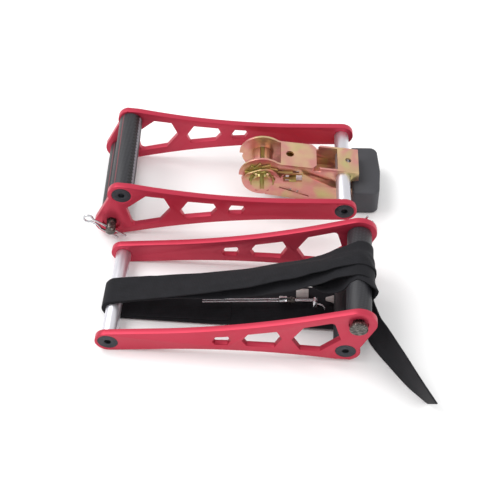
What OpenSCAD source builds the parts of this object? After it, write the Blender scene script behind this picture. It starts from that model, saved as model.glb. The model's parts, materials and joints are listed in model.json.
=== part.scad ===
// Two-part ratchet puller: a yoke with a small webbing ratchet, and a matching yoke with the wound webbing.
// Millimetres. +X runs from the wide end of the ratchet yoke to its narrow end, +Y is the far side, +Z is up.
// The origin is on the ground, under the middle of the whole set's bounding box.

/* [Yokes] */
// Distance between the screw at the narrow end and the screw at the wide end, along the yoke
yoke_length = 179; // [165:1:190]
// Clear width between the two side plates of a yoke
yoke_gap = 82; // [76:1:90]
// Thickness of a side plate
plate_t = 5; // [4.6:0.1:6]
// Radius of the plate's narrow end
narrow_r = 10; // [9.5:0.5:11]
// Radius of the concave long edges
waist_r = 540; // [500:10:600]
// Diameter of the crossbar and of the roller shaft
bar_d = 12; // [11.8:0.1:12.4]
// Outer diameter of the rubber rollers
roller_d = 19; // [18:0.5:20]

/* [Pins and clips] */
// Diameter of the removable clevis pin
pin_d = 8; // [7:0.5:8]
// Length of the pin under its head
pin_length = 99.5; // [98:0.5:102]
// Wire diameter of the hairpin clip
clip_wire = 1.8; // [1.4:0.1:2]
// How far the strap yoke's pin is drawn back from its seat
pin_drawn_back = 4; // [0:0.5:4]

/* [Ratchet] */
// Thickness of the ratchet's sheet steel
sheet_t = 1.8; // [1.6:0.1:2]
// Outer diameter of the slotted spool
spool_d = 17; // [16:0.5:17]
// Number of teeth on a ratchet wheel
teeth = 12; // [12:4:16]
// Outer radius of the ratchet wheels
wheel_r = 16; // [15.5:0.1:16.2]

/* [Webbing] */
// Width of the webbing
webbing_w = 25; // [20:1:26]
// Thickness of the wound webbing, all its turns together
winding_t = 3.4; // [2.4:0.1:3.6]
// Thickness of the free tail, with room for its curl
tail_t = 2; // [1.2:0.1:3]

/* [Placing] */
// Distance from the ratchet yoke's crossbar back to the strap yoke's crossbar
strap_yoke_back = 179.5; // [170:0.5:190]
// Distance from the ratchet yoke's centre line to the strap yoke's centre line, at its crossbar
strap_yoke_aside = 116.8; // [112:0.1:130]
// Turn of the strap yoke on the ground, degrees
strap_yoke_turn = -2.6; // [-4:0.1:0]
// Lift of the strap yoke's wide end by the webbing wound under it, degrees
strap_yoke_lift = 6.3; // [6:0.1:7]

/* [Hidden] */
$fn = 48;

// Shift that puts the origin under the middle of the set
set_x = 73.3;
set_y = 89.7;

// Yoke, in its own frame: X from the wide end (negative) to the crossbar at 0, Z up, Y across
crossbar_h = 30;                          // height of the ratchet yoke's crossbar above the ground
wide_screw = [-yoke_length, 16.5];        // fixed roller, x and z
wide_pin = [-yoke_length - 11.5, -16.5];  // removable pin, x and z
wide_screw_r = 11;                        // plate corner round the screw
wide_pin_r = 13.5;                        // plate corner round the pin
straight_from = 40;                       // the long edges run straight this far from the crossbar
plate_in = yoke_gap / 2;
plate_out = plate_in + plate_t;
head_d = 16;                              // countersunk screw head
head_h = 4.4;
screw_d = 8;
screw_length = 20;
fit_gap = 0.06;                           // radial clearance of a running or sliding fit
pin_head_d = 13.5;
pin_head_h = 3.5;
pin_seat_d = 14.6;                        // counterbore that takes the pin's head
pin_seat_h = 2.5;
cross_hole_end = 4.5;                     // from the pin's end to its cross hole
clip_gap = 5.4;                           // between the clip's two legs, centre to centre

// Ratchet buckle, in a frame with its origin on the crossbar's axis
buckle_y = 5;                             // middle of the buckle across the yoke
drum = [-67, 2];                          // spool axis, x and z
ear_r = 19.5;
ear_in = 11.9;                            // inner face of a frame wall, from the buckle's middle
wheel_in = ear_in + sheet_t + 0.3;
arm_in = wheel_in + sheet_t + 0.4;
washer_in = arm_in + sheet_t + 0.2;
washer_t = 1;
spool_half = washer_in + washer_t + 3.2;
root_r = wheel_r - 3.4;
slot_w = 3.6;                             // webbing slot between the two spool halves
top_slope = -0.145;                       // fall of the frame's top per mm
top_z = 15.6;                             // top of the frame at its left end
top_x = -51.5;
grip_x = [8, 32];
grip_y = [-21, 33];
grip_z = [-30, -5];
pawl_t = 1.8;
nose_r = 13.9;                            // reach of the lock pawl's nose from the spool's axis
pull_nose_r = wheel_r + 0.15;             // the pull pawl is held back, just clear of the teeth
pull_bite = 2.25;                         // how far it goes in from there
lock_at = 26;                             // where the lock pawl meets its wheel, degrees above +X
lock_tilt = 4;                            // fall of the lock pawl along its slide, degrees
pull_z = drum[1] - 1;                     // middle height of the pull pawl
pull_end = -38.8;                         // free end of the pull pawl
tooth_phase = -1;                         // puts both pawls in the wheels' gullets
crossbar_eye_r = 8.4;                     // frame walls round the crossbar
window = [-22, -4.5];                     // gap in the frame's top, from x to x
tube_at = [12, -17];                      // tube that ties the handle's arms together

red = "#c3344c";
steel = "#c9b98a";
silver = "#c9cacd";
black = "#202124";

// Points of a round stretch about c, from angle a to angle b
function arc(c, r, a, b, n) = [for (i = [0 : n]) c + r * [cos(a + (b - a) * i / n), sin(a + (b - a) * i / n)]];
// Half width of a yoke plate at distance d from the crossbar
function half_width(d) = narrow_r + (d > straight_from ? pow(d - straight_from, 2) / (2 * waist_r) : 0);
// Height of the frame's top surface at x
function top_at(x) = top_z + top_slope * (x - top_x);

// ---- Yoke pieces, each in the yoke's own frame ----

module side_plate_outline() {
    edge = [for (d = [0 : 9 : yoke_length - 8]) d];
    top_edge = [for (d = edge) [-d, half_width(d)]];
    bottom_edge = [for (i = [len(edge) - 1 : -1 : 0]) [-edge[i], -half_width(edge[i])]];
    polygon(concat(
        arc([0, 0], narrow_r, -84, 84, 16),
        top_edge,
        arc(wide_screw, wide_screw_r, 103, 197, 10),
        arc(wide_pin, wide_pin_r, 161, 284, 14),
        bottom_edge
    ));
}

// Hexagonal lightening holes, the largest next to the wide end
module lightening_holes() {
    polygon(concat(
        [[-159.5, 16], [-145, 13.7], [-140, 0.5], [-150.5, -14]],
        arc([-170.8, -15.7], 3, 282, 190, 5),
        [[-176.5, 1.5]]
    ));
    polygon([[-126, 10.2], [-105.4, 7.8], [-102.5, 1.1], [-108.2, -6.6], [-130, -9.6], [-133, -1]]);
    polygon([[-91, 6.2], [-81.6, 5.5], [-80, 2], [-83.4, -3.9], [-93, -4.4], [-94.5, 0]]);
}

// A hole across the plate at a point of the yoke, along Y
module across(at, y0, y1, d0, d1) {
    translate([at[0], y0, at[1]])
        rotate([-90, 0, 0])
            cylinder(h = y1 - y0, d1 = d0, d2 = d1);
}

// One side plate; side is -1 for the near one and 1 for the far one
module side_plate(side) {
    far = side > 0 ? 0 : 1;
    color(red)
        mirror([0, far, 0])
            difference() {
                translate([0, plate_out, 0])
                    rotate([90, 0, 0])
                        linear_extrude(plate_t)
                            difference() {
                                side_plate_outline();
                                lightening_holes();
                            }
                for (at = [[0, 0], wide_screw]) {
                    across(at, plate_in - 1, plate_out + 1, screw_d + 0.4, screw_d + 0.4);
                    across(at, plate_out - head_h - 0.1, plate_out + 0.01, screw_d + 0.4, head_d + 0.3);
                }
                across(wide_pin, plate_in - 1, plate_out + 1, pin_d + 2 * fit_gap, pin_d + 2 * fit_gap);
                across(wide_pin, plate_out - pin_seat_h, plate_out + 1, pin_seat_d, pin_seat_d);
            }
}

// Bar between the plates, drilled at both ends for its screws
module drilled_bar(at, tint) {
    color(tint)
        difference() {
            across(at, -plate_in, plate_in, bar_d, bar_d);
            for (side = [-1, 1])
                translate([0, side * (plate_in - screw_length / 2), 0])
                    across(at, -screw_length / 2 - 0.5, screw_length / 2 + 0.5, screw_d + 0.1, screw_d + 0.1);
        }
}

// The two countersunk socket screws of a bar
module bar_screws(at) {
    color(black)
        for (far = [0, 1])
            mirror([0, far, 0])
                difference() {
                    union() {
                        across(at, plate_out - screw_length - head_h, plate_out - 0.2, screw_d, screw_d);
                        across(at, plate_out - head_h, plate_out - 0.2, screw_d, head_d - 0.3);
                    }
                    translate([at[0], plate_out - 3.2, at[1]])
                        rotate([-90, 0, 0])
                            cylinder(h = 4, d = 5.8, $fn = 6);
                }
}

// Rubber sleeve that turns on a shaft or pin
module roller(at, bore) {
    color(black)
        difference() {
            across(at, -plate_in + 0.5, plate_in - 0.5, roller_d, roller_d);
            across(at, -plate_in, plate_in, bore, bore);
        }
}

// Clevis pin with its head on the far side, drawn back by a given amount
module clevis_pin(back) {
    seat = plate_out - pin_seat_h + back;
    end = seat - pin_length;
    color("#3b3c3f")
        difference() {
            union() {
                across(wide_pin, seat, seat + pin_head_h - 0.6, pin_head_d, pin_head_d);
                across(wide_pin, seat + pin_head_h - 0.6, seat + pin_head_h, pin_head_d, pin_head_d - 1.6);
                across(wide_pin, end + 1, seat, pin_d, pin_d);
                across(wide_pin, end, end + 1, pin_d - 2, pin_d);
            }
            translate([wide_pin[0], end + cross_hole_end, wide_pin[1]])
                rotate([0, clip_turn(back), 0])
                    cylinder(h = 2 * pin_d, d = clip_wire + 0.6, center = true);
        }
}

// The clip is put through in a different direction on each yoke
function clip_turn(back) = back > 0 ? 208 : 129;

// Round wire swept along a flat path in x and z, mitred at each bend
module wire_path(points, d, sides = 10) {
    last = len(points) - 1;
    along = [for (i = [0 : last])
        let (run = points[min(i + 1, last)] - points[max(i - 1, 0)]) run / norm(run)];
    rings = [for (i = [0 : last], k = [0 : sides - 1])
        let (a = 360 * k / sides, across = [along[i][1], -along[i][0]])
            [points[i][0] + d / 2 * cos(a) * across[0], d / 2 * sin(a), points[i][1] + d / 2 * cos(a) * across[1]]];
    walls = [for (i = [0 : last - 1], k = [0 : sides - 1])
        let (n = (k + 1) % sides, low = i * sides, high = low + sides)
            each [[low + k, low + n, high + n], [low + k, high + n, high + k]]];
    ends = [[for (k = [sides - 1 : -1 : 0]) k], [for (k = [0 : sides - 1]) last * sides + k]];
    polyhedron(rings, concat(walls, ends), convexity = 6);
}

// Hairpin clip: its straight leg runs along Z through the pin, tip at +Z, and its bent leg rides outside
module hairpin_clip(back) {
    ring_r = 3.6;
    ring_at = [1.6, -20.5];
    wire = concat(
        [[0, 15], [0, -17]],
        arc(ring_at, ring_r, 122, 418, 16),
        [[3.2, -17], [3.0, -11], [3.6, -9], [clip_gap, -6], [clip_gap, 5], [clip_gap - 0.2, 8],
         [clip_gap + 0.8, 11]]
    );
    color(silver)
        translate([wide_pin[0], plate_out - pin_seat_h + back - pin_length + cross_hole_end, wide_pin[1]])
            rotate([0, clip_turn(back), 0])
                wire_path(wire, clip_wire);
}

// ---- Ratchet buckle pieces, in the buckle's frame (crossbar axis at x = z = 0) ----

module disc(at, y0, y1, r) {
    translate([at[0], y0, at[1]])
        rotate([-90, 0, 0])
            cylinder(h = y1 - y0, r = r);
}

// Flat sheet on both sides of the buckle: outline in x and z, between two distances from its middle
module sheet_pair(y0, y1) {
    for (far = [0, 1])
        mirror([0, far, 0])
            translate([0, y1, 0])
                rotate([90, 0, 0])
                    linear_extrude(y1 - y0)
                        children();
}

// Plate between the two walls, its top along a sloping line from a to b in x and z
module cross_plate(a, b, half) {
    down = [b[1] - a[1], a[0] - b[0]] / norm(b - a) * sheet_t;
    translate([0, half, 0])
        rotate([90, 0, 0])
            linear_extrude(2 * half)
                polygon([a, b, b + down, a + down]);
}

module frame_wall_outline() {
    difference() {
        union() {
            translate(drum) circle(ear_r, $fn = 72);
            circle(crossbar_eye_r);
            polygon([[drum[0] + 2, drum[1] + ear_r - 0.8], [-56, 17.2], [top_x, top_z], [13, top_at(13)],
                     [13, -3], [8, -3.5], [0, -7], [-8, -2.5], [-14, -2.5], [-26, 3], [-48.5, 3], [-52, -4]]);
        }
        // Hook at the ear's free end, and the lower rim below it
        polygon([[-92, 4.8], [-83, 2.8], [-84.33, -1.06], [-83.5, -4], [-82.2, -6.8], [-79.9, -10.9],
                 [-77.9, -14.3], [-92, -14]]);
    }
}

// Local x is the lock pawl's slide, with its nose at 0
module lock_pawl_place() {
    translate([drum[0] + nose_r * cos(lock_at), 0, drum[1] + nose_r * sin(lock_at)])
        rotate([0, lock_tilt, 0])
            children();
}

module buckle_frame() {
    wall_out = ear_in + sheet_t;
    color(steel)
        difference() {
            union() {
                sheet_pair(ear_in, wall_out) frame_wall_outline();
                cross_plate([top_x, top_z], [window[0], top_at(window[0])], ear_in + 0.5);
                cross_plate([window[1], top_at(window[1])], [13, top_at(13)], ear_in + 0.5);
                // Seat of the lock pawl's spring
                translate([-34.2, -5, 4.5]) cube([sheet_t, 10, 7.5]);
            }
            disc([0, 0], -wall_out - 1, wall_out + 1, bar_d / 2 + fit_gap);
            disc(drum, -wall_out - 1, wall_out + 1, spool_d / 2 + fit_gap);
            translate([-44, 0, 0]) cylinder(h = 40, d = 6.5);
            translate([4.5, 0, 5]) cylinder(h = 40, d = 5);
            // Cut corners of the top plate at the window
            for (far = [0, 1])
                mirror([0, far, 0])
                    translate([window[0], wall_out, 13])
                        rotate([0, 0, 45])
                            cube([5, 5, 12], center = true);
            // Slots in the walls in which the lock pawl slides
            lock_pawl_place()
                translate([4.7, -20, -pawl_t / 2 - 0.2])
                    cube([13.3, 40, pawl_t + 0.4]);
        }
}

// One half of the split spool, by side
module spool_half_profile(side, grow) {
    intersection() {
        circle(spool_d / 2 + grow);
        translate([side > 0 ? slot_w / 2 - grow : -spool_d, -spool_d])
            square([spool_d - slot_w / 2 + grow, 2 * spool_d]);
    }
}

module along_drum(y0, y1) {
    translate([drum[0], y1, drum[1]])
        rotate([90, 0, 0])
            linear_extrude(y1 - y0)
                children();
}

module buckle_spool_halves() {
    color(steel)
        difference() {
            union()
                for (side = [-1, 1])
                    along_drum(-spool_half, spool_half) spool_half_profile(side, 0);
            for (end = [-1, 1], side = [-1, 1])
                translate([drum[0] + side * 4.6, end * (spool_half - 1.5), drum[1]])
                    cylinder(h = 2 * spool_d, d = 2, center = true);
        }
}

module wheel_outline() {
    pitch = 360 / teeth;
    difference() {
        polygon([for (i = [0 : teeth - 1], k = [0 : 3])
            let (a = i * pitch + [0, 4, 9, pitch * 0.82][k], r = [root_r, wheel_r, wheel_r - 0.6, root_r + 0.4][k])
                r * [cos(a), sin(a)]]);
        for (side = [-1, 1]) rotate(-tooth_phase) spool_half_profile(side, 0.04);
    }
}

module buckle_ratchet_wheels() {
    color("#b8b45c")
        for (far = [0, 1])
            mirror([0, far, 0])
                along_drum(wheel_in, wheel_in + sheet_t) rotate(tooth_phase) wheel_outline();
}

// Toothed lock washers outside the handle arms
module buckle_lock_washers() {
    color("#a9a469")
        for (far = [0, 1])
            mirror([0, far, 0])
                along_drum(washer_in, washer_in + washer_t)
                    difference() {
                        polygon([for (i = [0 : 27])
                            (i % 2 == 0 ? 10.9 : 9.6) * [cos(i * 360 / 28), sin(i * 360 / 28)]]);
                        for (side = [-1, 1]) spool_half_profile(side, 0.04);
                    }
}

module buckle_cotter_pins() {
    color(steel)
        for (end = [-1, 1], side = [-1, 1])
            translate([drum[0] + side * 4.6, end * (spool_half - 1.5), drum[1]]) {
                cylinder(h = 18.4, d = 1.9, center = true);
                for (tip = [-1, 1])
                    translate([0, 0, tip * 9.3]) sphere(d = 2.5);
            }
}

module handle_arm_outline() {
    difference() {
        union() {
            // Eye round the spool, low at its top so that the wheel's teeth stand above it
            polygon(concat(arc(drum, 16.8, 178, 275, 18),
                [[-50, -5], [-50.3, 0], [-52, 4], [-55.6, 9.5], [-59, 12.2], [-62.6, 13.6], [-69, 13],
                 [-75.8, 10.2], [-79, 8.8]]));
            polygon([[-52, 4], [-50, 7], [-33.6, 9.6], [-33.6, 8.1], [-9, -6.8], [9, -9.5],
                     [28, -10.5], [28, -25], [14, -27.5], [-10, -26.5], [-40, -20.5], [drum[0] + 2, -15.4]]);
        }
        // Notch in which the pull pawl slides
        translate([-49.5, pull_z - pawl_t / 2 - 0.25]) square([15.5, 30]);
        // Slot with two notches that holds the pull pawl's spring
        translate([-53, -7.5])
            rotate(-23.5) {
                square([27, 1.3]);
                translate([9, 1]) square([1.4, 2.6]);
                translate([15, 1]) square([1.4, 2.6]);
            }
    }
}

module buckle_handle() {
    arm_out = arm_in + sheet_t;
    color(steel)
        difference() {
            union() {
                sheet_pair(arm_in, arm_out) handle_arm_outline();
                cross_plate([-31.4, -13.2], [7.5, -16.5], arm_in + 0.5);
                // Seat of the pull pawl's spring
                translate([-31.4, -6, -14]) cube([sheet_t, 12, 18.5]);
            }
            disc(drum, -arm_out - 1, arm_out + 1, spool_d / 2 + fit_gap);
            disc(tube_at, -arm_out - 1, arm_out + 1, 3.05);
        }
}

// Steel tube riveted between the arms where they enter the grip
module buckle_handle_tube() {
    half = arm_in + sheet_t + 1.4;
    color(silver)
        difference() {
            disc(tube_at, -half, half, 3);
            disc(tube_at, -half - 1, half + 1, 1.7);
        }
}

module buckle_grip() {
    pocket = sheet_t + 0.1;
    mid_z = (grip_z[0] + grip_z[1]) / 2;
    color(black)
        difference() {
            translate([0, grip_y[1] - buckle_y, 0])
                rotate([90, 0, 0])
                    linear_extrude(grip_y[1] - grip_y[0])
                        polygon([[grip_x[0], grip_z[1]], [grip_x[1] - 4, grip_z[1]], [grip_x[1] - 1.2, grip_z[1] - 2.5],
                                 [grip_x[1], mid_z], [grip_x[1] - 1.5, grip_z[0] + 3],
                                 [grip_x[1] - 5, grip_z[0]], [grip_x[0], grip_z[0]]]);
            // Pockets for the ends of the arms and for the tube
            for (side = [-1, 1])
                translate([0, side * (arm_in + sheet_t / 2) - pocket / 2, -27.6])
                    cube([28.1, pocket, 18.5]);
            disc(tube_at, -arm_in - sheet_t - 1.5, arm_in + sheet_t + 1.5, 3.05);
        }
}

// Sliding pawl between the arms that drives the wheels
module buckle_pull_pawl() {
    half = arm_in + sheet_t + 0.9;
    plate_from = drum[0] + ear_r + 0.5 + pull_bite;
    color("#a39a55")
        translate([0, 0, pull_z - pawl_t / 2]) {
            for (far = [0, 1])
                mirror([0, far, 0])
                    translate([drum[0] + pull_nose_r, wheel_in + 0.1, 0])
                        cube([plate_from - drum[0] - pull_nose_r + 1, sheet_t - 0.2, pawl_t]);
            translate([plate_from, -half, 0]) cube([pull_end - plate_from, 2 * half, pawl_t]);
        }
}

// Coil between a pawl and its seat, along x
module coil(length, d, wire) {
    rotate([0, 90, 0])
        difference() {
            cylinder(h = length, d = d);
            translate([0, 0, -1]) cylinder(h = length + 2, d = d - 2 * wire);
        }
}

module buckle_pull_spring() {
    color(silver)
        translate([pull_end + 0.1, 0, pull_z]) coil(7.2, 5, 0.8);
}

// Sliding pawl in the frame that stops the spool from running back
module buckle_lock_pawl() {
    half = wheel_in + sheet_t - 0.1;
    color("#a39a55")
        lock_pawl_place() {
            for (far = [0, 1])
                mirror([0, far, 0])
                    translate([0, wheel_in + 0.1, -pawl_t / 2]) cube([6, sheet_t - 0.2, pawl_t]);
            translate([5, -half, -pawl_t / 2]) cube([8, 2 * half, pawl_t]);
        }
}

module buckle_lock_spring() {
    color(silver)
        lock_pawl_place()
            translate([13.1, 0, 0]) coil(6.6, 4.2, 0.7);
}

// ---- Webbing and hook, in the strap yoke's frame (X towards the wide end, Z up) ----

strap_screw = [yoke_length, -16.5];
strap_pin = [yoke_length + 11.5, 16.5];

module winding_shape(grow) {
    hull() {
        circle(bar_d / 2 + 0.3 + grow, $fn = 32);
        translate(strap_screw) circle(roller_d / 2 + 0.3 + grow, $fn = 32);
        translate(strap_pin) circle(roller_d / 2 + 0.3 + grow, $fn = 32);
    }
}

module webbing_winding() {
    color(black)
        translate([0, webbing_w / 2 - 1, 0])
            rotate([90, 0, 0])
                linear_extrude(webbing_w)
                    difference() {
                        winding_shape(winding_t);
                        winding_shape(0);
                    }
}

// Plan of the free tail, standing on its edge, in the set's own frame with the crossbar at x = y = 0
tail_plan = [[20.5, -133], [23.5, -137], [27, -142], [29, -152], [33.5, -166], [41, -183], [51, -202], [61, -219], [64.5, -226]];

tail_cut_y = -206;  // where the cut end meets the ground

// Points beside a flat path, at a distance to its left
function beside(path, gap) = [for (i = [0 : len(path) - 1])
    let (run = path[min(i + 1, len(path) - 1)] - path[max(i - 1, 0)])
        path[i] + gap * [-run[1], run[0]] / norm(run)];

module webbing_tail() {
    color(black)
        difference() {
            linear_extrude(webbing_w - 0.6)
                polygon(concat(beside(tail_plan, tail_t / 2),
                    [for (i = [len(tail_plan) - 1 : -1 : 0]) beside(tail_plan, -tail_t / 2)[i]]));
            // Slanting cut end
            translate([0, tail_cut_y, 0])
                rotate([41, 0, 0])
                    translate([0, -60, -40])
                        cube([100, 60, 120]);
        }
}

// Wire hook tucked between the turns of webbing, at a height above the ground
hook_z = 7.2;
hook_y = -119;

module hook_rod(from, to, d) {
    run = to - from;
    translate(from)
        rotate([0, acos(run[2] / norm(run)), atan2(run[1], run[0])])
            cylinder(h = norm(run), d = d, $fn = 24);
}

module hook_wires() {
    color(silver)
        for (side = [-1, 1])
            hook_rod([-112, hook_y - 1 + side * 1.1, hook_z - 0.6], [-52, hook_y + side * 1.1, hook_z], 1.3);
}

module hook_ferrule() {
    color(silver)
        translate([-52, hook_y, hook_z])
            rotate([0, 90, 0])
                cylinder(h = 6.4, d = 6.6, $fn = 6);
}

module hook_swivel() {
    color("#3a3b3d") {
        hook_rod([-45.6, hook_y, hook_z], [-39.6, hook_y, hook_z], 4.4);
        hook_rod([-43.2, hook_y, hook_z], [-41.8, hook_y, hook_z], 5.8);
    }
}

module hook_bar() {
    color(silver) {
        translate([-39.6, hook_y, hook_z]) rotate([0, 90, 0]) cylinder(h = 17.4, d = 2.6);
        translate([-24, hook_y + 1.8, hook_z]) rotate([90, 0, 0]) cylinder(h = 9, d = 3.6);
    }
}

// Bent wire tongue that closes the hook
module hook_tongue() {
    color(silver)
        translate([-22.1, hook_y - 3.6, hook_z])
            rotate([90, 0, 0])
                wire_path([[0, 0], [2.2, 0.3], [4.0, 1.5], [5.2, 3.4], [5.8, 6]], 1.4);
}

module hook_sleeve() {
    color("#b9b6b4")
        translate([-38.5, hook_y + 6.4, hook_z])
            rotate([0, 90, 0])
                cylinder(h = 9.6, d = 7.6);
}

module hook_cap() {
    color("#b4b1ae")
        translate([-15.5, hook_y + 1.4, hook_z])
            rotate([0, 90, 0])
                cylinder(h = 6.4, d1 = 2.6, d2 = 6.4);
}

// ---- Where each group stands ----

module ratchet_yoke_place() {
    translate([set_x, set_y, crossbar_h]) children();
}

module strap_yoke_place() {
    translate([set_x - strap_yoke_back, set_y - strap_yoke_aside, narrow_r])
        rotate([0, -strap_yoke_lift, strap_yoke_turn])
            children();
}

// The strap yoke's metalwork is the same yoke turned over, wide end to the right
module turned_over() {
    strap_yoke_place() rotate([0, 180, 0]) children();
}

module buckle_place() {
    translate([set_x, set_y + buckle_y, crossbar_h]) children();
}

module ground_place() {
    translate([set_x, set_y, 0.4]) children();
}

ratchet_yoke_place() side_plate(-1);  // ratchet_yoke_near_plate
ratchet_yoke_place() side_plate(1);  // ratchet_yoke_far_plate
ratchet_yoke_place() drilled_bar([0, 0], silver);  // ratchet_yoke_crossbar
ratchet_yoke_place() bar_screws([0, 0]);  // ratchet_yoke_crossbar_screws
ratchet_yoke_place() drilled_bar(wide_screw, silver);  // ratchet_yoke_roller_shaft
ratchet_yoke_place() bar_screws(wide_screw);  // ratchet_yoke_shaft_screws
ratchet_yoke_place() roller(wide_screw, bar_d + 0.14);  // ratchet_yoke_shaft_roller
ratchet_yoke_place() clevis_pin(0);  // ratchet_yoke_pin
ratchet_yoke_place() roller(wide_pin, pin_d + 0.14);  // ratchet_yoke_pin_roller
ratchet_yoke_place() hairpin_clip(0);  // ratchet_yoke_pin_clip
turned_over() side_plate(-1);  // strap_yoke_near_plate
turned_over() side_plate(1);  // strap_yoke_far_plate
turned_over() drilled_bar([0, 0], silver);  // strap_yoke_crossbar
turned_over() bar_screws([0, 0]);  // strap_yoke_crossbar_screws
turned_over() drilled_bar(wide_screw, silver);  // strap_yoke_roller_shaft
turned_over() bar_screws(wide_screw);  // strap_yoke_shaft_screws
turned_over() roller(wide_screw, bar_d + 0.14);  // strap_yoke_shaft_roller
turned_over() mirror([0, 1, 0]) clevis_pin(pin_drawn_back);  // strap_yoke_pin
turned_over() roller(wide_pin, pin_d + 0.14);  // strap_yoke_pin_roller
turned_over() mirror([0, 1, 0]) hairpin_clip(pin_drawn_back);  // strap_yoke_pin_clip
buckle_place() buckle_frame();
buckle_place() buckle_spool_halves();
buckle_place() buckle_ratchet_wheels();
buckle_place() buckle_lock_washers();
buckle_place() buckle_cotter_pins();
buckle_place() buckle_handle();
buckle_place() buckle_handle_tube();
buckle_place() buckle_grip();
buckle_place() buckle_pull_pawl();
buckle_place() buckle_pull_spring();
buckle_place() buckle_lock_pawl();
buckle_place() buckle_lock_spring();
strap_yoke_place() webbing_winding();
ground_place() webbing_tail();
ground_place() hook_wires();
ground_place() hook_ferrule();
ground_place() hook_swivel();
ground_place() hook_bar();
ground_place() hook_tongue();
ground_place() hook_sleeve();
ground_place() hook_cap();
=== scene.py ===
import json
import math

import bpy
from mathutils import Matrix, Vector


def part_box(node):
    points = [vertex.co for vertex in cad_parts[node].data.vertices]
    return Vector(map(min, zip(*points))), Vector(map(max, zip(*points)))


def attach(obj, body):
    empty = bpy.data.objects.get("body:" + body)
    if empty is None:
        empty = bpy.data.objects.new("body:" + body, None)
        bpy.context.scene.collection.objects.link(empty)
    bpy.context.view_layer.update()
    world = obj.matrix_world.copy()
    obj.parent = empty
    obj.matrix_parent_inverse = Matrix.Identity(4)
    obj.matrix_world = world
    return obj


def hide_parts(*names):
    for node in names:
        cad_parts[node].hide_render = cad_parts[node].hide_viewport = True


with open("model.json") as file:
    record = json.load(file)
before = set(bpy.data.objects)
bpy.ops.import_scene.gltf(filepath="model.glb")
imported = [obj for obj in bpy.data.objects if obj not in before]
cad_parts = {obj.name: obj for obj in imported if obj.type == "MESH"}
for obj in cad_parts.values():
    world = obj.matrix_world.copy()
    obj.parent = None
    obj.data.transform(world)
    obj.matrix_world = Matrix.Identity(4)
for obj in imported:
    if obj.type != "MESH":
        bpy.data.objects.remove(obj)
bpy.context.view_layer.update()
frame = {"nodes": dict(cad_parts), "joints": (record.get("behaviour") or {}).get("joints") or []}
MM = 0.001
joints = {j["name"]: j for j in frame["joints"]}

# Places that the rest is worked out from: the crossbar under the buckle, and the strap yoke's directions
CROSSBAR = Vector(joints["buckle_swing"]["pos_m"])
SCREW_ROLLER = Vector(joints["strap_yoke_shaft_roller_spin"]["pos_m"])
PIN_ROLLER = Vector(joints["strap_yoke_pin_roller_spin"]["pos_m"])
ACROSS = Vector(joints["strap_yoke_shaft_roller_spin"]["axis"]).normalized()
# From the strap yoke's crossbar to its two rollers, along and up, in millimetres
BAR_TO_SCREW = (179.0, -16.5)
BAR_TO_PIN = (190.5, 16.5)
STEP_U, STEP_W = (MM * (b - a) for a, b in zip(BAR_TO_SCREW, BAR_TO_PIN))
roller_step = PIN_ROLLER - SCREW_ROLLER
square_step = ACROSS.cross(roller_step)
ALONG = (STEP_U * roller_step + STEP_W * square_step).normalized()    # from the crossbar to the wide end
UP = (STEP_W * roller_step - STEP_U * square_step).normalized()
STRAP_BAR = SCREW_ROLLER - BAR_TO_SCREW[0] * MM * ALONG - BAR_TO_SCREW[1] * MM * UP


def strap_point(u, v, w):
    """A point of the strap yoke in millimetres from its crossbar's middle: along, across and up."""
    return STRAP_BAR + MM * (u * ALONG + v * ACROSS + w * UP)


# ---------------------------------------------------------------- modelling helpers

def deselect_all():
    active = bpy.context.view_layer.objects.active
    if active is not None and active.mode != "OBJECT":
        bpy.ops.object.mode_set(mode="OBJECT")
    bpy.ops.object.select_all(action="DESELECT")


def pick(obj):
    """Makes one object the only selected and the active one."""
    deselect_all()
    obj.select_set(True)
    bpy.context.view_layer.objects.active = obj


def new_piece(name):
    """Names the primitive that was just added."""
    obj = bpy.context.active_object
    obj.name = name
    obj.data.name = name
    return obj


def apply_modifier(obj, kind, **settings):
    pick(obj)
    modifier = obj.modifiers.new(kind.title(), kind)
    for key, value in settings.items():
        setattr(modifier, key, value)
    bpy.ops.object.modifier_apply(modifier=modifier.name)


def place_in_mesh(obj):
    """Puts an object's place, turn and size into its mesh."""
    pick(obj)
    bpy.ops.object.transform_apply(location=True, rotation=True, scale=True)


def smooth(obj, angle=35):
    pick(obj)
    bpy.ops.object.shade_smooth_by_angle(angle=math.radians(angle))


def select_edges(obj, test):
    """In edit mode: selects the edges whose two ends pass the test."""
    bpy.ops.mesh.select_all(action="DESELECT")
    bpy.ops.object.mode_set(mode="OBJECT")
    ends = obj.data.vertices
    for edge in obj.data.edges:
        edge.select = bool(test(ends[edge.vertices[0]].co, ends[edge.vertices[1]].co))
    bpy.ops.object.mode_set(mode="EDIT")


def softened(node, name, width, segments=2, angle=30, smooth_angle=35):
    """A copy of a CAD node with its sharp edges broken by a small bevel of that width in millimetres."""
    mesh = frame["nodes"][node].data.copy()
    obj = bpy.data.objects.new(name, mesh)
    bpy.context.scene.collection.objects.link(obj)
    mesh.materials.clear()
    pick(obj)
    bpy.ops.object.mode_set(mode="EDIT")
    bpy.ops.mesh.select_mode(type="VERT")
    bpy.ops.mesh.select_all(action="SELECT")
    bpy.ops.mesh.remove_doubles(threshold=2e-6)
    bpy.ops.mesh.dissolve_limited(angle_limit=math.radians(0.5))
    bpy.ops.object.mode_set(mode="OBJECT")
    apply_modifier(obj, "BEVEL", width=width * MM, segments=segments, limit_method="ANGLE",
                   angle_limit=math.radians(angle), use_clamp_overlap=True)
    smooth(obj, smooth_angle)
    return obj


HOSE_R = 9.5             # outside radius of the rollers' hose
MARKS_AND_PAINTED_LIGHT_HIDDEN = 34.0      # turn of a hose, as a length round it, that takes its seam, its painted highlight and its painted reflection underneath


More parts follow.
